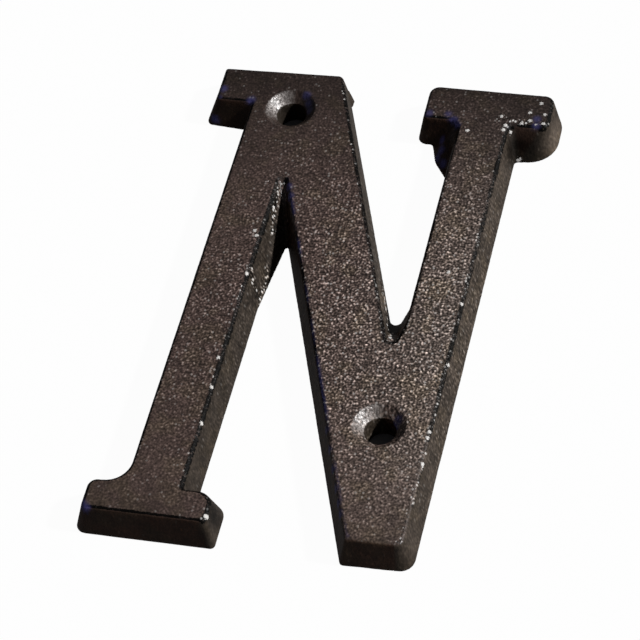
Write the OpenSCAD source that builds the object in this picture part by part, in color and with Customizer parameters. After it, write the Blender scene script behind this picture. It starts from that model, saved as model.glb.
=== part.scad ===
// House letter N, one iron casting that screws flat to a door, gate or wall.
// All sizes in millimetres. The letter lies on its flat back at z = 0, its face looks up
// along +Z and its top points along +Y. The origin is the middle of the back.
//
// The side walls run out from the face to the back, as a pattern needs to leave the sand.
// The outline is a table of corners. Each corner has one place and one radius at the face
// and another at the back. The body is lofted through rings made from that table.

/* [Casting] */
// Height of the letter, measured on its face
face_height = 74.2; // [66:0.5:84]
// Thickness from the flat back to the face
casting_thickness = 4.6; // [3.4:0.1:7]
// How far a side wall runs out between the face and the back
side_draft = 1.1; // [0.5:0.05:1.3]
// Radius along the edges of the face
face_edge_radius = 0.45; // [0.2:0.05:0.7]
// Radius along the edges of the back
back_edge_radius = 0.2; // [0.1:0.05:0.4]

/* [Left stem] */
// Width of the left stem on the face
left_stem_width = 6.95; // [5.5:0.1:8.5]
// How much wider the left stem is above its foot than under its upper serif
left_stem_taper = 0.45; // [0:0.05:0.8]
// Height of the foot serif on the face
foot_height = 4.35; // [3:0.1:6]
// Reach of the foot serif to the left of the stem
foot_left_reach = 4.9; // [3.5:0.1:6.5]
// Reach of the foot serif to the right of the stem
foot_right_reach = 4.1; // [3:0.1:6]
// Radius of the bracket above the left half of the foot
foot_bracket_radius = 3.2; // [1:0.1:3.4]
// Extra run-out of the left end of the foot and of the left wall of the diagonal
left_wall_lean = 0.3; // [0:0.05:0.6]
// Height of the upper left serif on the face
upper_serif_height = 5.65; // [4:0.1:7]
// Reach of the upper left serif to the left of the stem
upper_serif_reach = 4.85; // [3.5:0.1:6.5]
// Extra run-out of the end of the upper left serif
upper_serif_lean = 0.6; // [0:0.05:0.9]
// How much further the lower corner of that end runs out
upper_serif_flare = 0.25; // [0:0.05:0.5]
// How much lower the upper left serif hangs at the back, where it meets the stem
upper_serif_sag = 0.5; // [0:0.05:0.8]

/* [Right stem] */
// Left edge of the right stem, from the left edge of the left stem
right_stem_offset = 29.15; // [27:0.25:34]
// Width of the right stem on the face
right_stem_width = 6.6; // [5.5:0.1:8.5]
// Height of the right serif on the face
right_serif_height = 5.7; // [4.5:0.1:7]
// Reach of the right serif to the left of the stem
right_serif_left_reach = 5.05; // [4.6:0.1:6.5]
// Reach of the right serif to the right of the stem
right_serif_right_reach = 5.3; // [4.9:0.1:6.5]
// How much lower the right half of this serif hangs at the back than at the face
serif_bulge = 1.2; // [0:0.1:2]
// How much lower still it hangs where it meets the stem
serif_bulge_sag = 0.6; // [0:0.05:0.8]
// Radius of the bulging lower corner of this serif at the back
serif_bulge_radius = 4; // [1.5:0.1:4]
// Width at the back of the gusset under the left half of this serif
gusset_width = 3; // [1.5:0.1:3.1]
// Height at the back of the gusset under the left half of this serif
gusset_height = 5.9; // [2.5:0.1:8]
// How far that gusset swells beyond a straight brace
gusset_swell = 0.55; // [0.05:0.05:0.6]

/* [Diagonal] */
// Upper right corner of the diagonal, from the left edge of the left stem
diagonal_top_width = 11.5; // [10:0.25:14]
// How much higher that corner stands than the upper left serif
diagonal_top_rise = 0.4; // [0:0.05:0.8]
// How far the lower left corner of the diagonal stands left of the right stem
diagonal_toe = 0.5; // [-0.5:0.1:2]
// Height at which the diagonal would meet the left stem with no rounding
left_crotch_height = 58.65; // [52:0.5:64]
// Height at which the diagonal would meet the right stem with no rounding
right_crotch_height = 24.9; // [20:0.5:29]

/* [Crotch webs] */
// Height at the face of the kink where the web in the left crotch starts
left_web_face_height = 39.8; // [36:0.5:44]
// The same height at the back
left_web_back_height = 36.5; // [34:0.5:42]
// Slope of that web at the back, sideways run for each unit of height
left_web_slope = 0.12; // [0.02:0.01:0.18]
// How far the wall of the left stem has leant out at the back, up to that kink
left_web_lean = 0.2; // [0:0.05:0.4]
// Height at the face where the right stem starts to turn into its crotch
right_web_face_height = 33; // [31:0.5:37]
// The same height at the back
right_web_back_height = 39.8; // [37:0.5:43]
// Slope of the web in the right crotch, sideways run for each unit of height
right_web_slope = 0.25; // [0.1:0.01:0.28]

/* [Screw holes] */
// Diameter of the two screw holes
screw_hole_diameter = 4.1; // [3:0.1:4.6]
// Diameter of the countersinks at the face
countersink_diameter = 6.9; // [5.8:0.1:8]
// Depth of the countersinks
countersink_depth = 1.25; // [0.8:0.05:2]
// Upper hole, across from the left edge of the left stem
upper_hole_across = 5.76; // [4.75:0.1:6.4]
// Upper hole, down from the top of the face
upper_hole_down = 6.45; // [5.5:0.1:9]
// Lower hole, across from the left edge of the right stem
lower_hole_across = 0.05; // [-0.8:0.1:1.2]
// Lower hole, up from the bottom of the face
lower_hole_up = 17.15; // [10:0.25:21]

/* [Hidden] */
// steps in a corner that reads as round, and in a small one
round_steps = 8;
small_steps = 4;
// steps in the rounding of the face edge and of the back edge
arris_steps = 4;
back_steps = 2;
min_radius = 0.05;
// the least turn that counts as a corner when a flat side is cut into triangles
flat_turn = 1e-7;
cut_past = 1;
bore_facets = 72;

iron_color = [0.2, 0.17, 0.15];

screw_hole_radius = screw_hole_diameter / 2;
countersink_radius = countersink_diameter / 2;

right_stem_right = right_stem_offset + right_stem_width;
toe_x = right_stem_offset - diagonal_toe;
// run of the two edges of the diagonal for each unit of height
left_run = (toe_x - left_stem_width) / left_crotch_height;
right_run = (right_stem_offset - diagonal_top_width) / (face_height - right_crotch_height);
serif_line = face_height - right_serif_height;
upper_line = face_height - upper_serif_height;
top_y = face_height + diagonal_top_rise;
foot_end_x = left_stem_width + foot_right_reach;
serif_end_x = right_stem_right + right_serif_right_reach;
serif_start_x = right_stem_offset - right_serif_left_reach;
// the ends of the right serif and of the foot run out a little less than the other walls,
// and the right wall of the diagonal runs out less still towards its top
end_draft = side_draft * 0.78;
diagonal_draft = side_draft * 0.9;
pinched_draft = side_draft * 0.62;
lean_draft = side_draft + left_wall_lean;
// the left edge of the left stem moves in at its top and out above its foot
stem_top_x = left_stem_taper / 2;
stem_foot_x = -left_stem_taper / 2;
web_x = left_stem_width + side_draft + left_web_lean;
// the left wall of the diagonal runs out a little less at its foot
toe_pinch = 0.14;
// sideways shift of the edges of the diagonal at the back
left_shift = lean_draft * sqrt(1 + left_run * left_run);
right_shift = diagonal_draft * sqrt(1 + right_run * right_run);
pinched_shift = pinched_draft * sqrt(1 + right_run * right_run);
// the gusset, which is only a small bracket at the face
gusset_face = 0.8;
gusset_face_swell = 0.02;
gusset_face_start = [right_stem_offset - gusset_face, serif_line];
gusset_face_end = [right_stem_offset, serif_line - gusset_face];
gusset_back_start = [right_stem_offset - side_draft - gusset_width, serif_line - side_draft];
gusset_back_end = [right_stem_offset - side_draft, serif_line - side_draft - gusset_height];
web_face_slope = 0.01;

// where the left edge of the diagonal is at height y, moved left by s
function diagonal_left(y, s) = toe_x - left_run * y - s;
// where its right edge is at height y, moved right by s
function diagonal_right(y, s) = diagonal_top_width + right_run * (face_height - y) + s;

// the middle of the line from a to b, moved to the right of that line by s
function swell(a, b, s) = (a + b) / 2 + s * [b.y - a.y, a.x - b.x] / norm(b - a);

// left crotch: a wall at x that leans from height h up, against the diagonal
function left_crotch(x, h, slope, s) =
    let (y = (toe_x - s - x + slope * h) / (left_run + slope))
    [diagonal_left(y, s), y];

// right crotch: a wall at x that leans from height h down, against the diagonal
function right_crotch(x, h, s) =
    let (top = diagonal_top_width + right_run * face_height + s)
    let (y = (top - x + right_web_slope * h) / (right_run + right_web_slope))
    [diagonal_right(y, s), y];

// each row: place at the face, place at the back, radius at the face, radius at the back, steps
corners = [
    // foot serif
    [[-foot_left_reach, 0], [-foot_left_reach - lean_draft, -side_draft],
        0.6, 1.4, round_steps],
    [[foot_end_x, 0], [foot_end_x + end_draft, -side_draft],
        0.6, 0.6, small_steps],
    [[foot_end_x, foot_height], [foot_end_x + end_draft, foot_height + side_draft],
        2.1, 1.9, round_steps],
    [[left_stem_width, foot_height], [left_stem_width + side_draft, foot_height + side_draft],
        0.4, 0.6, small_steps],
    // left crotch with its web
    [[left_stem_width, left_web_face_height], [web_x, left_web_back_height],
        0, 0, 0],
    [left_crotch(left_stem_width, left_web_face_height, web_face_slope, 0),
        left_crotch(web_x, left_web_back_height, left_web_slope, left_shift),
        0.52, 0.18, round_steps],
    // lower end of the diagonal
    [[toe_x, 0], [diagonal_left(-side_draft, left_shift) + toe_pinch, -side_draft],
        0.4, 0.6, small_steps],
    [[right_stem_right, 0], [right_stem_right + side_draft, -end_draft],
        0.9, 1.9, round_steps],
    // right serif
    [[right_stem_right, serif_line],
        [right_stem_right + side_draft, serif_line - side_draft - serif_bulge - serif_bulge_sag],
        0.6, 0.5, small_steps],
    [[serif_end_x, serif_line],
        [serif_end_x + side_draft, serif_line - side_draft - serif_bulge],
        0.9, serif_bulge_radius, round_steps],
    [[serif_end_x, face_height], [serif_end_x + side_draft, face_height + side_draft],
        1.3, 3.4, round_steps],
    [[serif_start_x, face_height], [serif_start_x - side_draft, face_height + side_draft],
        1.3, 1.3, round_steps],
    [[serif_start_x, serif_line], [serif_start_x - side_draft, serif_line - side_draft],
        0.5, 1.2, small_steps],
    // gusset under the left half of the right serif
    [gusset_face_start, gusset_back_start, 0.5, 0.5, small_steps],
    [swell(gusset_face_start, gusset_face_end, gusset_face_swell),
        swell(gusset_back_start, gusset_back_end, gusset_swell),
        0.8, 3, small_steps],
    [gusset_face_end, gusset_back_end, 0.5, 1.2, small_steps],
    // right crotch with its web
    [[right_stem_offset, right_web_face_height],
        [right_stem_offset - side_draft, right_web_back_height],
        6, 6, small_steps],
    [right_crotch(right_stem_offset, right_web_face_height, 0),
        right_crotch(right_stem_offset - side_draft, right_web_back_height, right_shift),
        0.67, 0.8, round_steps],
    // upper end of the diagonal
    [[diagonal_top_width, top_y],
        [diagonal_right(top_y + side_draft, pinched_shift), top_y + side_draft],
        0.9, 0.4, small_steps],
    // upper left serif
    [[-upper_serif_reach, face_height],
        [-upper_serif_reach - side_draft - upper_serif_lean, face_height + side_draft],
        0.3, 0.5, small_steps],
    [[-upper_serif_reach, upper_line],
        [-upper_serif_reach - side_draft - upper_serif_lean - upper_serif_flare,
            upper_line - side_draft],
        0.5, 0.9, small_steps],
    [[stem_top_x, upper_line],
        [stem_top_x - side_draft, upper_line - side_draft - upper_serif_sag],
        0.3, 0.3, small_steps],
    // bracket and upper left corner of the foot
    [[stem_foot_x, foot_height],
        [stem_foot_x - side_draft, foot_height + side_draft],
        foot_bracket_radius, foot_bracket_radius, round_steps],
    [[-foot_left_reach, foot_height], [-foot_left_reach - lean_draft, foot_height + side_draft],
        1.2, 1.2, round_steps]
];
corner_count = len(corners);

function mix(a, b, k) = a + (b - a) * k;
function unit(v) = v / norm(v);
function outward(t) = [t.y, -t.x];
function turned(v, a) = [v.x * cos(a) - v.y * sin(a), v.x * sin(a) + v.y * cos(a)];

// points of one rounded corner between the directions a and b, pulled in by inset
function corner_arc(place, a, b, radius, inset, steps) =
    let (na = outward(a), nb = outward(b))
    let (moved = place - inset * (na + nb) / (1 + na * nb))
    let (side = cross(a, b) >= 0 ? 1 : -1)
    let (sweep = acos(min(1, a * b)))
    let (r = max(min_radius, radius - side * inset))
    let (centre = moved - a * r * tan(sweep / 2) - side * r * na)
    steps == 0
        ? [moved]
        : [for (j = [0 : steps]) centre + turned(side * r * na, side * sweep * j / steps)];

// one closed outline, k = 0 at the face and 1 at the back
function ring(k, inset) =
    let (v = [for (c = corners) mix(c[0], c[1], k)])
    let (t = [for (i = [0 : corner_count - 1]) unit(v[(i + 1) % corner_count] - v[i])])
    [for (i = [0 : corner_count - 1])
        let (c = corners[i])
        each corner_arc(v[i], t[(i + corner_count - 1) % corner_count], t[i],
            mix(c[2], c[3], k), inset, c[4])];

// rows of height and inset, from the back up to the face
levels = concat(
    [for (j = [0 : back_steps])
        let (a = 90 * j / back_steps)
        [back_edge_radius * (1 - cos(a)), back_edge_radius * (1 - sin(a))]],
    [for (j = [0 : arris_steps])
        let (a = 90 - 90 * j / arris_steps)
        [casting_thickness - face_edge_radius * (1 - cos(a)), face_edge_radius * (1 - sin(a))]]
);

rings = [for (l = levels) ring(1 - l[0] / casting_thickness, l[1])];
ring_size = len(rings[0]);
level_count = len(levels);

// true when q lies inside the triangle a, b, c, which runs counter-clockwise
function inside(q, a, b, c) =
    cross(b - a, q - a) >= 0 && cross(c - b, q - b) >= 0 && cross(a - c, q - c) >= 0;

// true when corner i of the outline left in ids can be cut off as one triangle
function is_ear(p, ids, i) =
    let (n = len(ids))
    let (a = p[ids[(i + n - 1) % n]], b = p[ids[i]], c = p[ids[(i + 1) % n]])
    cross(b - a, c - b) > flat_turn
        && len([for (j = [2 : n - 2]) if (inside(p[ids[(i + j) % n]], a, b, c)) j]) == 0;

// the first such corner from i on
function next_ear(p, ids, i) = is_ear(p, ids, i % len(ids)) ? i % len(ids) : next_ear(p, ids, i + 1);

// the outline p as triangles, made by cutting off one ear after another
function ears(p, ids, i, done) =
    let (n = len(ids))
    n == 3
        ? concat(done, [ids])
        : let (e = next_ear(p, ids, i))
            ears(p, [for (j = [0 : n - 1]) if (j != e) ids[j]], e + 1,
                concat(done, [[ids[(e + n - 1) % n], ids[e], ids[(e + 1) % n]]]));

function cap(p) = ears(p, [for (j = [0 : len(p) - 1]) j], 0, []);

upper_hole = [upper_hole_across, face_height - upper_hole_down];
lower_hole = [right_stem_offset + lower_hole_across, lower_hole_up];

// middle of the back, which becomes the origin
back_x = [for (c = corners) c[1].x];
back_y = [for (c = corners) c[1].y];
middle = [(min(back_x) + max(back_x)) / 2, (min(back_y) + max(back_y)) / 2];

module letter_body() {
    points = [for (i = [0 : level_count - 1]) for (p = rings[i]) [p.x, p.y, levels[i][0]]];
    top = (level_count - 1) * ring_size;
    walls = [for (i = [0 : level_count - 2]) for (j = [0 : ring_size - 1])
        let (n = (j + 1) % ring_size, low = i * ring_size, high = low + ring_size)
        each [[low + j, high + j, high + n], [low + j, high + n, low + n]]];
    back = cap(rings[0]);
    face = [for (f = cap(rings[level_count - 1])) [top + f[2], top + f[1], top + f[0]]];
    polyhedron(points = points, faces = concat(back, face, walls), convexity = 10);
}

module screw_hole(place) {
    flare = (countersink_radius - screw_hole_radius) * cut_past / countersink_depth;
    translate([place.x, place.y, -cut_past])
        cylinder(r = screw_hole_radius, h = casting_thickness + 2 * cut_past, $fn = bore_facets);
    translate([place.x, place.y, casting_thickness - countersink_depth])
        cylinder(r1 = screw_hole_radius, r2 = countersink_radius + flare,
            h = countersink_depth + cut_past, $fn = bore_facets);
}

module cast_letter() {
    color(iron_color)
        translate([-middle.x, -middle.y, 0])
            difference() {
                letter_body();
                screw_hole(upper_hole);
                screw_hole(lower_hole);
            }
}

cast_letter();
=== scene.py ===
# House letter N: one rough iron casting, lying on its flat back on a pale table.
# Lengths are in millimetres. MM turns them to metres where Blender takes them.
import math

import bmesh
import bpy
from mathutils import Matrix, Vector


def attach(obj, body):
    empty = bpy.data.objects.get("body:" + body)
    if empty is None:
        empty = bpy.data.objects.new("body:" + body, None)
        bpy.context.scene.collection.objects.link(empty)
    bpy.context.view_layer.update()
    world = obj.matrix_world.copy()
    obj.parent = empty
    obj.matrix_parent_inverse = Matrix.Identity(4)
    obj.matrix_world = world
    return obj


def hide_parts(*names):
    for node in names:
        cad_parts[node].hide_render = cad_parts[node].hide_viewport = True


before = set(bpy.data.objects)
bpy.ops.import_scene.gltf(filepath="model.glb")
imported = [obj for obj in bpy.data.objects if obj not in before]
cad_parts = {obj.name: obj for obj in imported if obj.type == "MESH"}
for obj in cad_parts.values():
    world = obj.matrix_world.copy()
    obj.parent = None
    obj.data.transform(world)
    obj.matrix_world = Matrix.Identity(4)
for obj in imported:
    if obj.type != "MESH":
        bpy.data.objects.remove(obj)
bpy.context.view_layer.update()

# The letter.
# The real piece is one grey iron casting, poured in a sand mould from a wooden pattern and then
# blackened. The sand leaves a coarse grain on the face, and the drafted walls draw out smoother.
MM = 0.001
skin_mesh_size = 0.12
most_triangles = 190000
merge_distance = 1e-4
face_height = 4.6
screw_holes = [(-11.915, 30.45, face_height), (11.525, -20.15, face_height)]

# coarse moulding sand leaves an even grain of about 0.3 mm and single lumps about 0.45 mm apart.
# The draw of the pattern stretches both along the walls.
sand_size = 0.28
grain_spacing = 0.45
draw_stretch = (1.0, 0.9, 0.5)

# a burr stands out at the upper right corner of the diagonal, where the iron ran into the joint
# of the mould
burr_corners = [
    (-5.825, 37.7, 0.0), (-4.845, 36.77, 0.0), (-4.955, 35.4, 0.0), (-6.275, 36.6, 0.0),
    (-5.635, 37.35, 1.5), (-5.575, 36.0, 0.9), (-4.925, 36.77, 0.35),
]

# single coarse grains, each with a painted white glint: on the right serif, down the right stem, at
# the right crotch, on the left stem and at the foot
white_grains = [
    (19.8, 31.5, 4.6), (20.8, 32.1, 4.6), (22.7, 31.8, 4.6), (22.6, 33.4, 4.6), (20.6, 33.5, 4.6),
    (21.8, 35.3, 4.6), (17.7, 30.9, 4.6), (17.6, 30.1, 4.6), (16.9, 32.4, 4.6), (18.4, 30.5, 3.7),
    (19.6, 28.6, 0.4), (19.9, 28.9, 0.5), (12.8, 29.4, 4.6),
    (15.2, 5.0, 4.6), (18.1, -9.6, 4.3), (17.9, 0.2, 4.5), (17.9, -20.2, 4.5), (17.8, -21.1, 4.5),
    (18.0, -25.0, 4.4), (17.9, -25.5, 4.2), (9.6, -5.4, 3.2),
    (-11.2, 7.9, 4.6), (-11.6, 8.7, 4.6), (-10.3, 13.5, 3.8), (-10.9, 1.5, 4.5),
    (-11.2, -12.5, 4.6), (-10.9, -17.2, 4.5), (-10.8, -22.8, 4.4), (-6.7, -36.5, 4.5), (-6.5, -36.4, 4.2),
]

# lines along which the sand broke away and left coarse grains, which carry painted glints, from one
# point to the next: three in the left crotch, one in the right crotch, one on the right serif and one
# down the lower outer arris of the right stem
rough_lines = [
    [(-10.7, 2.5, 4.1), (-10.4, 1.7, 3.4), (-10.2, 1.1, 2.3), (-9.9, 0.7, 1.0), (-9.7, 0.5, 0.4)],
    [(-9.6, 5.5, 1.0), (-9.7, 4.4, 0.8), (-9.7, 3.2, 0.6), (-9.7, 1.7, 0.5), (-9.7, 0.5, 0.3)],
    [(-10.2, 18.4, 4.5), (-10.3, 17.6, 4.2), (-10.4, 16.0, 3.8), (-10.3, 14.0, 3.7), (-9.8, 10.5, 2.3)],
    [(6.2, 4.3, 1.8), (8.0, 0.0, 1.6), (9.0, -3.4, 2.3), (9.7, -5.1, 3.2)],
    [(16.8, 32.2, 4.6), (19.0, 31.8, 4.6), (22.8, 32.0, 4.6)],
    [(18.3, -14.5, 4.8), (18.3, -23.0, 4.8), (18.2, -31.0, 4.8)],
]
spot_spacing = 0.35

# places where a blue-black reflection is painted: under the left half of the right serif and on
# its edge, on the upper left serif, in the flares, at the left crotch, on the right half of the right
# serif, at the foot and down the left arris of the diagonal
blue_spots = [
    (9.2, 28.3, 1.4), (8.7, 27.5, 0.6), (9.8, 26.4, 0.8), (8.9, 29.6, 2.0),
    (9.7, 32.0, 5.0), (10.6, 31.1, 4.4), (7.1, 31.9, 4.9),
    (-17.7, 31.4, 4.5), (-22.1, 33.0, 4.6), (-23.1, 30.4, 1.1),
    (-10.3, 33.2, 4.4), (-9.8, 32.1, 3.9), (-9.6, 31.1, 3.9), (13.6, -18.5, 3.9), (13.3, -19.1, 3.4),
    (-9.0, 16.8, 4.4), (-8.4, 15.2, 4.4), (21.7, 32.5, 4.9), (21.8, 31.3, 4.8),
    (-22.6, -36.8, 4.4), (-22.0, -37.3, 4.3),
    (4.7, -21.6, 4.3), (5.8, -24.5, 4.3), (6.9, -27.3, 4.3), (7.9, -30.1, 4.3), (8.7, -32.2, 4.3),
    (9.3, -33.7, 4.3),
]

# kinds of node that are used often: the type and its own settings
times = ("ShaderNodeMath", {"operation": "MULTIPLY"})
times_plus = ("ShaderNodeMath", {"operation": "MULTIPLY_ADD"})
plus = ("ShaderNodeMath", {"operation": "ADD"})
minus = ("ShaderNodeMath", {"operation": "SUBTRACT"})
over = ("ShaderNodeMath", {"operation": "DIVIDE"})
larger = ("ShaderNodeMath", {"operation": "MAXIMUM"})
is_more = ("ShaderNodeMath", {"operation": "GREATER_THAN"})
is_less = ("ShaderNodeMath", {"operation": "LESS_THAN"})
vector_times = ("ShaderNodeVectorMath", {"operation": "MULTIPLY"})
vector_scaled = ("ShaderNodeVectorMath", {"operation": "SCALE"})
far_from = ("ShaderNodeVectorMath", {"operation": "DISTANCE"})
along = ("ShaderNodeVectorMath", {"operation": "DOT_PRODUCT"})
vector_parts = ("ShaderNodeSeparateXYZ", {})
noise = ("ShaderNodeTexNoise", {})

# turns a value to another range, with its inputs in this order: the value, where it is low and
# high, and what comes out there
ramp = ("ShaderNodeMapRange", {"interpolation_type": "SMOOTHSTEP"})
straight_ramp = ("ShaderNodeMapRange", {})


def add_node(tree, kind, *values, output=0, label="", **named):
    """Adds a node and gives back the output that is asked for, or all of them for None. values are
    its inputs in order and named its inputs by name, or by number after a _. Each is a socket of
    another node or a plain value."""
    node = tree.nodes.new(kind[0])
    node.label = label
    for key, value in kind[1].items():
        setattr(node, key, value)
    given_inputs = list(enumerate(values))
    for key, value in named.items():
        given_inputs.append((int(key[1:]) if key[1:].isdigit() else key.replace("_", " "), value))
    for key, value in given_inputs:
        if isinstance(value, bpy.types.NodeSocket):
            tree.links.new(value, node.inputs[key])
        else:
            node.inputs[key].default_value = value
    return node.outputs if output is None else node.outputs[output]


def linear_color(code):
    """The linear colour, with alpha, of an sRGB hex code."""
    parts = [int(code[i:i + 2], 16) / 255 for i in (0, 2, 4)]
    return [p / 12.92 if p <= 0.04045 else ((p + 0.055) / 1.055) ** 2.4 for p in parts] + [1.0]


def mesh_object(name, mesh):
    """A new object at the origin that shows mesh."""
    thing = bpy.data.objects.new(name, mesh)
    bpy.context.scene.collection.objects.link(thing)
    return thing


def modified_mesh(thing):
    """The mesh of thing with its modifiers applied."""
    return bpy.data.meshes.new_from_object(thing.evaluated_get(bpy.context.evaluated_depsgraph_get()))


def point_cloud(name, points):
    """An object whose mesh is loose points, which a node tree can measure to."""
    mesh = bpy.data.meshes.new(name)
    mesh.from_pydata([[c * MM for c in point] for point in points], [], [])
    return mesh_object(name, mesh)


def distance_to_points(tree, cloud):
    """How far the surface is from the nearest point of cloud."""
    points = add_node(tree, ("GeometryNodeObjectInfo", {}), cloud, output="Geometry")
    return add_node(tree, ("GeometryNodeProximity", {"target_element": "POINTS"}), points,
                    output="Distance")


def sand_noise(tree, place, scale):
    """The even sand grain, from 0 to 1, the same in the skin and in its colour."""
    return add_node(tree, noise, Vector=place, Scale=scale, Detail=0.5, label="sand")


def round_grains(tree, place, scale):
    """Round grains, one in each cell, 1 on top and 0 between them, and an even number for each."""
    cells = add_node(tree, ("ShaderNodeTexVoronoi", {}), Vector=place, Scale=scale, Randomness=0.9,
                     output=None, label="grains")
    lot = add_node(tree, vector_parts, cells["Color"], output="X")
    return add_node(tree, ramp, cells["Distance"], 0.1, 0.65, 1.0, 0.0), lot


# the CAD solid, with its doubled corners merged, and the burr
body = bmesh.new()
body.from_mesh(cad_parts["cast_letter"].data)
bmesh.ops.remove_doubles(body, verts=body.verts, dist=merge_distance * MM)
burr = [body.verts.new([c * MM for c in corner]) for corner in burr_corners]
bmesh.ops.convex_hull(body, input=burr)
pattern_mesh = bpy.data.meshes.new("letter_pattern")
body.to_mesh(pattern_mesh)
body.free()
pattern = mesh_object("letter_pattern", pattern_mesh)

# an even mesh over the whole pattern, fine enough to carry the grain
remesh = pattern.modifiers.new("skin", "REMESH")
remesh.mode = "VOXEL"
remesh.voxel_size = skin_mesh_size * MM
letter = mesh_object("letter_casting", modified_mesh(pattern))
pattern.modifiers.remove(remesh)

spots = []
for line in rough_lines:
    for start, end in zip(map(Vector, line[:-1]), map(Vector, line[1:])):
        steps = math.ceil((end - start).length / spot_spacing)
        spots += [start.lerp(end, i / steps) for i in range(steps + 1)]
spot_cloud = point_cloud("rough_lines", spots)
white_glint_cloud = point_cloud("white_grains", white_grains)
hole_cloud = point_cloud("screw_holes", screw_holes)
blue_reflection_cloud = point_cloud("blue_spots", blue_spots)

skin = bpy.data.node_groups.new("sand_skin", "GeometryNodeTree")
skin_inputs = {
    "Geometry": ("NodeSocketGeometry", None),
    "Pattern": ("NodeSocketObject", pattern),
    "Sand Size": ("NodeSocketFloat", sand_size * MM),
    "Sand Depth": ("NodeSocketFloat", 0.2 * MM),
    "Grain Spacing": ("NodeSocketFloat", grain_spacing * MM),
    "Grain Height": ("NodeSocketFloat", 0.06 * MM),
    "Relief Size": ("NodeSocketFloat", 5.0 * MM),
    "Relief Depth": ("NodeSocketFloat", 0.06 * MM),
    "Draw Stretch": ("NodeSocketVector", draw_stretch),
    "Wall Share": ("NodeSocketFloat", 0.3),
    "Back Share": ("NodeSocketFloat", 0.3),
    "Roughest Place": ("NodeSocketVector", (12 * MM, -3 * MM, face_height * MM)),
    "Rough Reach": ("NodeSocketFloat", 6.0 * MM),
    "Calm Reach": ("NodeSocketFloat", 46.0 * MM),
    "Calm Share": ("NodeSocketFloat", 0.3),
    "Spots": ("NodeSocketObject", spot_cloud),
    "Spot Radius": ("NodeSocketFloat", 0.9 * MM),
    "White Grains": ("NodeSocketObject", white_glint_cloud),
    "White Grain Radius": ("NodeSocketFloat", 0.4 * MM),
    "Holes": ("NodeSocketObject", hole_cloud),
    "Flare Radius": ("NodeSocketFloat", 3.7 * MM),
    "Flare Worn Side": ("NodeSocketVector", (0.88, -0.47, 0.0)),
    "Blue Spots": ("NodeSocketObject", blue_reflection_cloud),
    "Blue Radius": ("NodeSocketFloat", 0.9 * MM),
    "Arris Height": ("NodeSocketFloat", 4.0 * MM),
    "Blunt Place": ("NodeSocketVector", (14 * MM, -34 * MM, face_height * MM)),
    "Blunt Reach": ("NodeSocketFloat", 20.0 * MM),
    "Material": ("NodeSocketMaterial", None),
}
for label, (kind, value) in skin_inputs.items():
    skin.interface.new_socket(label, in_out="INPUT", socket_type=kind)
skin.interface.new_socket("Geometry", in_out="OUTPUT", socket_type="NodeSocketGeometry")

# the even mesh is drawn onto the pattern's own faces, so that its steps don't show
given = add_node(skin, ("NodeGroupInput", {}), output=None)
pattern_faces = add_node(skin, ("GeometryNodeObjectInfo", {}), given["Pattern"], output="Geometry")
nearest = add_node(skin, ("GeometryNodeProximity", {"target_element": "FACES"}), pattern_faces,
                   output="Position")
flow = add_node(skin, ("GeometryNodeSetPosition", {}), Geometry=given["Geometry"], Position=nearest,
                label="onto the pattern")

# the grain and the slow waves of the skin
place = add_node(skin, ("GeometryNodeInputPosition", {}))
drawn = add_node(skin, vector_times, place, given["Draw Stretch"])
sand = sand_noise(skin, drawn, add_node(skin, over, 1.0, given["Sand Size"]))
grains = round_grains(skin, drawn, add_node(skin, over, 1.0, given["Grain Spacing"]))[0]
relief_scale = add_node(skin, over, 1.0, given["Relief Size"])
relief = add_node(skin, noise, Vector=place, Scale=relief_scale, Detail=2.0, label="relief")

# where a place is and which way it looks. The blurred normal tells how near an arris is, and
# which way that arris looks.
height_here = add_node(skin, vector_parts, place, output="Z")
normal = add_node(skin, ("GeometryNodeInputNormal", {}))
facing = add_node(skin, vector_parts, normal, output="Z")
spread = add_node(skin, ("GeometryNodeBlurAttribute", {"data_type": "FLOAT_VECTOR"}),
                  Value=normal, Iterations=14, output="Value")
spread_parts = add_node(skin, vector_parts, spread, output=None)
to_right = add_node(skin, ramp, spread_parts["X"], 0.03, 0.1, 0.0, 1.0)
to_left = add_node(skin, ramp, spread_parts["X"], -0.1, -0.03, 1.0, 0.0)
to_bottom = add_node(skin, ramp, spread_parts["Y"], -0.1, -0.03, 1.0, 0.0)
in_flare = add_node(skin, is_less, distance_to_points(skin, given["Holes"]), given["Flare Radius"])
off_flare = add_node(skin, minus, 1.0, in_flare)
is_high = add_node(skin, is_more, height_here, given["Arris Height"])
is_high = add_node(skin, times, is_high, off_flare)

# the rounded arris of the face, on which dark and blue reflections are painted; they are weaker where
# the arris is blunt at the bottom of the diagonal
edge = add_node(skin, ramp, add_node(skin, times_plus, to_right, 0.35, facing), 0.55, 0.8, 0.0, 1.0)
from_blunt = add_node(skin, far_from, place, given["Blunt Place"], output="Value")
blunt_core = add_node(skin, times, given["Blunt Reach"], 0.4)
sharp = add_node(skin, ramp, from_blunt, blunt_core, given["Blunt Reach"], 0.25, 1.0)
off_face = add_node(skin, ramp, facing, 0.9, 0.985, 1.0, 0.0)
for factor in (off_face, is_high, sharp):
    edge = add_node(skin, times, edge, factor)

# the narrow rim of the face beside the arris. It is coarse on the right, where it faces the lamp
# and gets painted glints, and a blue reflection is painted on parts of it on the lower left.
rim = add_node(skin, ramp, spread_parts["Z"], 0.93, 0.99, 1.0, 0.0)
for factor in (is_high, add_node(skin, ramp, facing, 0.9, 0.98, 0.0, 1.0)):
    rim = add_node(skin, times, rim, factor)
right_rim = add_node(skin, times, rim, to_right)
lit_rim = add_node(skin, times, right_rim, add_node(skin, ramp, relief, 0.4, 0.6, 0.2, 1.0))
blue_reflection_rim = add_node(skin, larger, rim, edge)
for factor in (to_left, to_bottom, add_node(skin, ramp, relief, 0.4, 0.6, 0.0, 1.0)):
    blue_reflection_rim = add_node(skin, times, blue_reflection_rim, factor)

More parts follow.
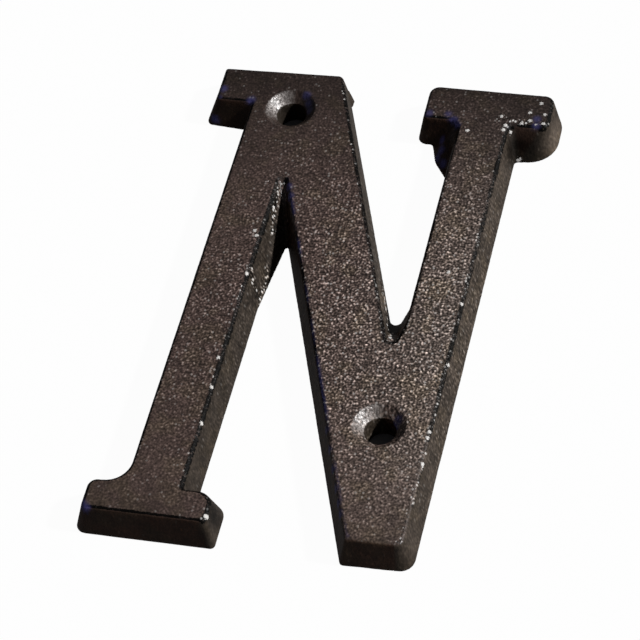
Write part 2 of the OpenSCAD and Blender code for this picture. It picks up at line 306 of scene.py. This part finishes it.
# the face, without the webs in the crotches, which look up too
web_top = add_node(skin, times, given["Arris Height"], 0.8)
web_middle = add_node(skin, times, web_top, 0.75)
above_webs = add_node(skin, ramp, height_here, web_middle, web_top, 0.0, 1.0)
on_face = add_node(skin, ramp, facing, 0.35, 0.9, 0.0, 1.0)
on_face = add_node(skin, times, on_face, add_node(skin, larger, above_webs, in_flare))

# the flares of the screw holes on the side where the lamp's highlight falls, without the face
# around them and the bores
on_flare = in_flare
highlight_side = add_node(skin, along, normal, given["Flare Worn Side"], output="Value")
for factor in (add_node(skin, ramp, facing, 0.97, 0.9, 0.0, 1.0),
               add_node(skin, ramp, facing, 0.3, 0.5, 0.0, 1.0),
               add_node(skin, ramp, highlight_side, 0.25, 0.6, 0.0, 1.0)):
    on_flare = add_node(skin, times, on_flare, factor)

# where the skin is rough: most on the right of the face and along the rough lines, and least on
# the walls and the far corners. The arris is broken away along the rough lines.
wall_coarse = add_node(skin, ramp, facing, -0.9, -0.35, given["Back Share"], given["Wall Share"])
from_rough = add_node(skin, far_from, place, given["Roughest Place"], output="Value")
coarse = add_node(skin, ramp, from_rough, given["Rough Reach"], given["Calm Reach"], 1.0, given["Calm Share"])
coarse = add_node(skin, times, coarse, add_node(skin, larger, on_face, wall_coarse))
to_spot = distance_to_points(skin, given["Spots"])
spot_core = add_node(skin, times, given["Spot Radius"], 0.3)
spotted = add_node(skin, ramp, to_spot, spot_core, given["Spot Radius"], 1.0, 0.0)
spotted = add_node(skin, larger, spotted, lit_rim)
coarse = add_node(skin, larger, coarse, add_node(skin, times, spotted, 0.8))
broken_off = add_node(skin, times, given["Spot Radius"], 0.7)
broken_core = add_node(skin, times, broken_off, 0.3)
edge = add_node(skin, times, edge, add_node(skin, ramp, to_spot, broken_core, broken_off, 0.25, 1.0))

# the white grains, which get painted glints, and the painted blue-black reflection
to_white = distance_to_points(skin, given["White Grains"])
white_core = add_node(skin, times, given["White Grain Radius"], 0.3)
white = add_node(skin, ramp, to_white, white_core, given["White Grain Radius"], 1.0, 0.0)
to_blue = distance_to_points(skin, given["Blue Spots"])
blue_core = add_node(skin, times, given["Blue Radius"], 0.3)
blued = add_node(skin, ramp, to_blue, blue_core, given["Blue Radius"], 1.0, 0.0)
blued = add_node(skin, larger, blued, add_node(skin, times, blue_reflection_rim, 0.7))

# what the material reads again as attributes
told = {"coarse": coarse, "on_face": on_face, "edge": edge, "right_rim": right_rim, "on_flare": on_flare,
        "spotted": spotted, "white": white, "blued": blued, "to_right": to_right}
for label, value in told.items():
    flow = add_node(skin, ("GeometryNodeStoreNamedAttribute", {"data_type": "FLOAT", "domain": "POINT"}),
                    Geometry=flow, Name=label, Value=value, label=label)

# the face and the back mostly sink below the pattern, so that the letter keeps its height within
# 0.1 mm. The walls go in and out evenly.
on_back = add_node(skin, ramp, facing, -0.9, -0.35, 1.0, 0.0)
sunk = add_node(skin, times_plus, add_node(skin, larger, on_face, on_back), 0.25, 0.5)
height = add_node(skin, times, add_node(skin, minus, sand, sunk), given["Sand Depth"])
height = add_node(skin, plus, height, add_node(skin, times, grains, given["Grain Height"]))
height = add_node(skin, times, height, coarse)
height = add_node(skin, plus, height, add_node(skin, times, white, given["Grain Height"]))
wave = add_node(skin, times, add_node(skin, minus, relief, sunk), given["Relief Depth"])
outwards = add_node(skin, vector_scaled, normal, Scale=add_node(skin, plus, height, wave))
flow = add_node(skin, ("GeometryNodeSetPosition", {}), Geometry=flow, Offset=outwards, label="sand skin")
flow = add_node(skin, ("GeometryNodeRealizeInstances", {}), flow)
flow = add_node(skin, ("GeometryNodeSetMaterial", {}), Geometry=flow, Material=given["Material"])
add_node(skin, ("NodeGroupOutput", {}), flow, output=None)

# sand-cast iron, blackened: dark brown oxide under a thin black wax. The eye gets a warm
# dark grey, nearly black in the pits, with pale worn tips. Small white glints, sheen, shade and blue
# reflections are painted into the colour too.
left_oxide = "4c3e39"
right_oxide = "473f3a"
# painted light and shade: the greyer oxide goes on walls that face the lamp, the browner on the rest
painted_shade_wall_oxide = "4b352a"
painted_light_wall_oxide = "4c433b"
rust = "504537"
# painted blue reflection, brighter on the walls, which are in shade
painted_blue_reflection_on_wall = "5c5a96"
painted_blue_reflection_on_face = "39375e"
# pale iron for worn grain tips and for painted glints
worn_and_glint_iron = "cbc8c4"
# paler iron painted on the side of the countersinks where the lamp's highlight falls
flare_highlight_iron = "9c9693"
rust_patch_size = 3.0
wax_patch_size = 2.2
# the real grit is near 0.1 mm and too fine to show, so it is drawn at twice that
grit_size = 0.2
# painted sheen and shade: the face is paler near these middles, the walls darker far from the right
sheen_middle = (0.0, -9.0, face_height)
full_sheen_reach = 25
no_sheen_reach = 49
pale_middle = (53.0, -6.0, face_height)
pale_reach = 70
right_oxide_reach = 30
left_oxide_reach = 64
bright_wall_reach = 34
dark_wall_reach = 66

# places on the walls where shade is painted darker, under the right serif, in the right crotch, at
# the end of the foot and down the bores, and two where light is painted brighter, at the end of the
# right serif and in the right crotch: x, y, z, how far each reaches, and how bright it is there
painted_shade_and_light_places = [
    (20.3, 28.9, 1.8, 4.0, 0.2), (9.4, -2.9, 1.3, 2.6, 0.25), (-6.2, -35.2, 3.6, 2.4, 0.4),
    (24.7, 32.4, 0.6, 3.6, 2.2), (-5.6, -34.6, 2.2, 2.6, 0.6), (7.3, 0.5, 2.4, 6.0, 1.3),
    (-12.2, 30.7, 1.5, 3.0, 0.4), (11.3, -19.9, 1.5, 3.0, 0.4),
]

# mixes the colours of inputs 6 and 7 by the share of the second
color_mix = ("ShaderNodeMix", {"data_type": "RGBA"})

iron = bpy.data.materials.new("blackened_sand_cast_iron")
iron.use_nodes = True
tree = iron.node_tree
tree.nodes.clear()
coords = add_node(tree, ("ShaderNodeTexCoord", {}), output="Object")
drawn = add_node(tree, vector_times, coords, draw_stretch)
kept = {label: add_node(tree, ("ShaderNodeAttribute", {"attribute_name": label}), output="Fac")
        for label in told}

# the oxide is browner on the left of the face, with patches of rust. The walls get a greyer copy of it
# where they face the lamp and a browner one where they don't: painted light and shade.
from_right = add_node(tree, far_from, coords, [c * MM for c in pale_middle], output="Value")
to_right_stem = add_node(tree, ramp, from_right, right_oxide_reach * MM, left_oxide_reach * MM, 1.0, 0.0)
oxide = add_node(tree, color_mix, to_right_stem, _6=linear_color(left_oxide), _7=linear_color(right_oxide),
                 output=2, label="face oxide")
# walls that face the lamp take the greyer copy: painted light and shade
wall_oxide = add_node(tree, color_mix, kept["to_right"], _6=linear_color(painted_shade_wall_oxide),
                      _7=linear_color(painted_light_wall_oxide), output=2, label="wall oxide")
oxide = add_node(tree, color_mix, kept["on_face"], _6=wall_oxide, _7=oxide, output=2, label="oxide")
tint = add_node(tree, noise, Vector=coords, Scale=1 / (rust_patch_size * MM), Detail=1.0, label="rust tint")
oxide = add_node(tree, color_mix, add_node(tree, ramp, tint, 0.45, 0.7, 0.0, 0.4), _6=oxide,
                 _7=linear_color(rust), output=2, label="rusted oxide")

# painted sheen: the face is paler around the middle of the letter and darker at its far corners,
# and paler again towards the right, on the lamp's side. The walls are darker away from the right.
from_middle = add_node(tree, far_from, coords, [c * MM for c in sheen_middle], output="Value")
sheen_near_middle = add_node(tree, straight_ramp, from_middle, full_sheen_reach * MM, no_sheen_reach * MM, 1.0, 0.0, label="sheen_near_middle")
face_tone = add_node(tree, straight_ramp, sheen_near_middle, 0.0, 1.0, 0.31, 1.02, label="face tone")
face_tone = add_node(tree, times, face_tone, add_node(tree, ramp, from_right, 0.0, pale_reach * MM, 3.4, 1.0))
wall_tone = add_node(tree, straight_ramp, from_right, bright_wall_reach * MM, dark_wall_reach * MM,
                     0.92, 0.55, label="wall tone")
# painted shade and light at the places listed above
for x, y, z, reach, share in painted_shade_and_light_places:
    from_painted_place = add_node(tree, far_from, coords, (x * MM, y * MM, z * MM), output="Value")
    painted_place_tone = add_node(tree, ramp, from_painted_place, 0.3 * reach * MM, reach * MM, share, 1.0)
    wall_tone = add_node(tree, times, wall_tone, painted_place_tone)
tone = add_node(tree, ("ShaderNodeMix", {"data_type": "FLOAT"}), kept["on_face"], _2=wall_tone, _3=face_tone)
patch = add_node(tree, noise, Vector=coords, Scale=1 / (wax_patch_size * MM), Detail=2.0, label="wax patches")
darkest_patch = add_node(tree, ramp, kept["on_face"], 0.0, 1.0, 0.7, 0.85)
tone = add_node(tree, times, tone, add_node(tree, ramp, patch, 0.3, 0.7, darkest_patch, 1.15))

# the gaps between the grains are dark, and a ragged black line is painted along the arris of the face,
# heaviest where it looks right: a painted dark reflection
grit = add_node(tree, minus, sand_noise(tree, drawn, 1 / (sand_size * MM)), 0.5)
grains, lot = round_grains(tree, drawn, 1 / (grain_spacing * MM))
swing = add_node(tree, times_plus, add_node(tree, minus, grains, 0.5), 1.3, add_node(tree, times, grit, 6.5))
stronger_on_wall = add_node(tree, ramp, kept["on_face"], 0.0, 1.0, 1.6, 1.0)
swing = add_node(tree, times, swing, add_node(tree, times, kept["coarse"], stronger_on_wall))
grain_tone = add_node(tree, ("ShaderNodeMath", {"operation": "EXPONENT"}), swing)
torn = add_node(tree, times_plus, add_node(tree, minus, tint, 0.5), 2.0, 1.0)
torn = add_node(tree, times_plus, grit, add_node(tree, ramp, kept["to_right"], 0.0, 1.0, 1.0, 4.0), torn)
near_arris = add_node(tree, times_plus, kept["right_rim"], 0.5, kept["edge"])
# painted dark reflection: the arris and the right rim are drawn nearly black
dark_arris_reflection = add_node(tree, ramp, add_node(tree, times, near_arris, torn), 0.25, 0.7, 1.0, 0.03)
brightness = add_node(tree, times, add_node(tree, times, grain_tone, tone), dark_arris_reflection)
color = add_node(tree, vector_scaled, oxide, Scale=brightness)

# a painted blue reflection, brighter on the walls, which are in shade
blue = add_node(tree, color_mix, kept["on_face"], _6=linear_color(painted_blue_reflection_on_wall),
                _7=linear_color(painted_blue_reflection_on_face), output=2, label="blue")
color = add_node(tree, color_mix, add_node(tree, times, kept["blued"], 0.75), _6=color, _7=blue,
                 output=2, label="blue-black")

# the tips of some grains are worn to pale iron, and pale glints are painted on the brightest grains,
# along the rough lines, on the lit rim and on the white grains
fine = add_node(tree, noise, Vector=coords, Scale=1 / (grit_size * MM), Detail=1.0, label="fine grit")
share = add_node(tree, larger, add_node(tree, times, kept["coarse"], 0.3),
                 add_node(tree, times, kept["spotted"], 0.7))
tips = add_node(tree, ramp, grains, 0.35, 0.9, 0.0, 1.0)
tips = add_node(tree, times, tips, add_node(tree, is_less, lot, share))
strength = add_node(tree, larger, add_node(tree, times, kept["coarse"], 0.4), kept["spotted"])
lit_swing = add_node(tree, ramp, swing, 0.2, 2.0, 0.0, 0.3)
worn_and_glint = add_node(tree, larger, add_node(tree, times, tips, strength), lit_swing)
frayed = add_node(tree, times_plus, add_node(tree, minus, fine, 0.5), 1.6, kept["white"])
white = add_node(tree, ramp, frayed, 0.3, 0.7, 0.0, 1.0)
white = add_node(tree, times, white, add_node(tree, is_more, kept["white"], 0.02))
worn_and_glint = add_node(tree, larger, worn_and_glint, white)
color = add_node(tree, color_mix, worn_and_glint, _6=color, _7=linear_color(worn_and_glint_iron), output=2, label="worn_and_glint")

# a painted highlight: the countersinks are coloured as paler bare iron on the side where the lamp's
# highlight falls
flare = add_node(tree, times, kept["on_flare"], add_node(tree, ramp, grit, -0.12, 0.08, 0.4, 1.0))
painted_flare_highlight = add_node(tree, times, flare, add_node(tree, ramp, fine, 0.3, 0.7, 0.3, 0.9))
color = add_node(tree, color_mix, painted_flare_highlight, _6=color, _7=linear_color(flare_highlight_iron), output=2, label="bare flare")
metal = add_node(tree, times, flare, add_node(tree, ramp, fine, 0.35, 0.65, 0.1, 0.5))

# the wax is a glossy coat on the face, and the countersinks shine more on their highlight side. The
# walls and the black arris are dull.
coat = add_node(tree, larger, add_node(tree, times, kept["on_face"], 0.6), flare)
coat = add_node(tree, times, coat, dark_arris_reflection)
bump = add_node(tree, ("ShaderNodeBump", {}), Strength=0.7, Distance=0.05 * MM, Height=fine)
surface = add_node(tree, ("ShaderNodeBsdfPrincipled", {}), Base_Color=color, Metallic=metal,
                   Specular_IOR_Level=0.1, Roughness=0.55, Normal=bump, Coat_Weight=coat,
                   Coat_Roughness=0.32, Coat_Normal=bump)
add_node(tree, ("ShaderNodeOutputMaterial", {}), Surface=surface, output=None)

casting = letter.modifiers.new("sand skin", "NODES")
casting.node_group = skin
skin_inputs["Material"] = ("NodeSocketMaterial", iron)
for item in skin.interface.items_tree:
    if item.in_out == "INPUT" and skin_inputs[item.name][1] is not None:
        casting[item.identifier] = skin_inputs[item.name][1]
letter.data = modified_mesh(letter)
letter.modifiers.remove(casting)
for helper in (pattern, spot_cloud, white_glint_cloud, hole_cloud, blue_reflection_cloud):
    bpy.data.objects.remove(helper)

# fewer triangles where the skin is calm, as on the back
thin = letter.modifiers.new("thin out", "DECIMATE")
thin.ratio = most_triangles / (2 * len(letter.data.polygons))
thin.use_collapse_triangulate = True
letter.data = modified_mesh(letter)
letter.modifiers.remove(thin)
letter.data.shade_smooth()

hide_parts("cast_letter")
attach(letter, "root")

# The table.
# A plain pale paper top that the letter lies on. The camera sees it nearly white, the iron's gloss
# sees a dimmer glow, and the lamp finds it grey, so that it throws little light on the walls.
table_size = 4000
table_grey = "787878"
glow_strength = 1.08
glow_share = 0.9
glow_share_in_gloss = 0.2
bore_shade_radius = 3.0

half = table_size / 2 * MM
table_mesh = bpy.data.meshes.new("table_top")
table_corners = [(-half, -half, 0), (half, -half, 0), (half, half, 0), (-half, half, 0)]
table_mesh.from_pydata(table_corners, [], [(0, 1, 2, 3)])
table = mesh_object("table_top", table_mesh)
paper = bpy.data.materials.new("white_paper")
paper.use_nodes = True
tree = paper.node_tree
tree.nodes.clear()
ray = add_node(tree, ("ShaderNodeLightPath", {}), output=None)
coords = add_node(tree, ("ShaderNodeTexCoord", {}), output="Object")
in_gloss = add_node(tree, larger, ray["Is Glossy Ray"], ray["Is Transmission Ray"])
seen = add_node(tree, larger, ray["Is Camera Ray"], add_node(tree, times, in_gloss, glow_share_in_gloss))
# it doesn't glow in discs under the bores, which are too deep for the room's light: painted shade
# that shows black through them
for x, y, z in screw_holes:
    from_hole = add_node(tree, far_from, coords, (x * MM, y * MM, 0.0), output="Value")
    seen = add_node(tree, times, seen, add_node(tree, is_more, from_hole, bore_shade_radius * MM))
matt = add_node(tree, ("ShaderNodeBsdfDiffuse", {}), Color=linear_color(table_grey))
glow = add_node(tree, ("ShaderNodeEmission", {}), Color=linear_color("ffffff"), Strength=glow_strength)
both = add_node(tree, ("ShaderNodeMixShader", {}), add_node(tree, times, seen, glow_share), matt, glow)
add_node(tree, ("ShaderNodeOutputMaterial", {}), Surface=both, output=None)
table.data.materials.append(paper)

# The light.
# One lamp on the right, about 40 degrees up, small enough for crisp shadows and glints, and a dim
# even room.
lamp_direction = Vector((0.765, 0.13, 0.64))
lamp_energy = 4.2
lamp_angle = 5
room_color = "c8ccd8"
room_strength = 0.1

sun = bpy.data.lights.new("lamp", "SUN")
sun.energy = lamp_energy
sun.angle = math.radians(lamp_angle)
lamp = bpy.data.objects.new("lamp", sun)
lamp.rotation_euler = lamp_direction.to_track_quat("Z", "Y").to_euler()
bpy.context.scene.collection.objects.link(lamp)
room = bpy.data.worlds.new("room")
room.use_nodes = True
room.node_tree.nodes["Background"].inputs["Color"].default_value = linear_color(room_color)
room.node_tree.nodes["Background"].inputs["Strength"].default_value = room_strength
bpy.context.scene.world = room

# The camera.
# It looks down over the lower right of the letter, a little rolled, through a long lens.
camera_azimuth = 21.557
camera_elevation = 50.799
camera_roll = -10.932
camera_distance = 374.77
camera_aim = Vector((0.402, -4.860, face_height))

lens = bpy.data.cameras.new("camera")
lens.lens = 165.04
lens.sensor_width = 36
lens.clip_start = 0.01
lens.clip_end = 20
camera = bpy.data.objects.new("camera", lens)
bpy.context.scene.collection.objects.link(camera)
azimuth = math.radians(camera_azimuth)
elevation = math.radians(camera_elevation)
back = Vector((math.sin(azimuth) * math.cos(elevation), -math.cos(azimuth) * math.cos(elevation),
               math.sin(elevation)))
level = (-back).to_track_quat("-Z", "Y").to_matrix().to_4x4()
camera.matrix_world = (Matrix.Translation((camera_aim + back * camera_distance) * MM) @ level
                       @ Matrix.Rotation(math.radians(camera_roll), 4, "Z"))
bpy.context.scene.camera = camera

bpy.context.scene.view_settings.view_transform = "Standard"
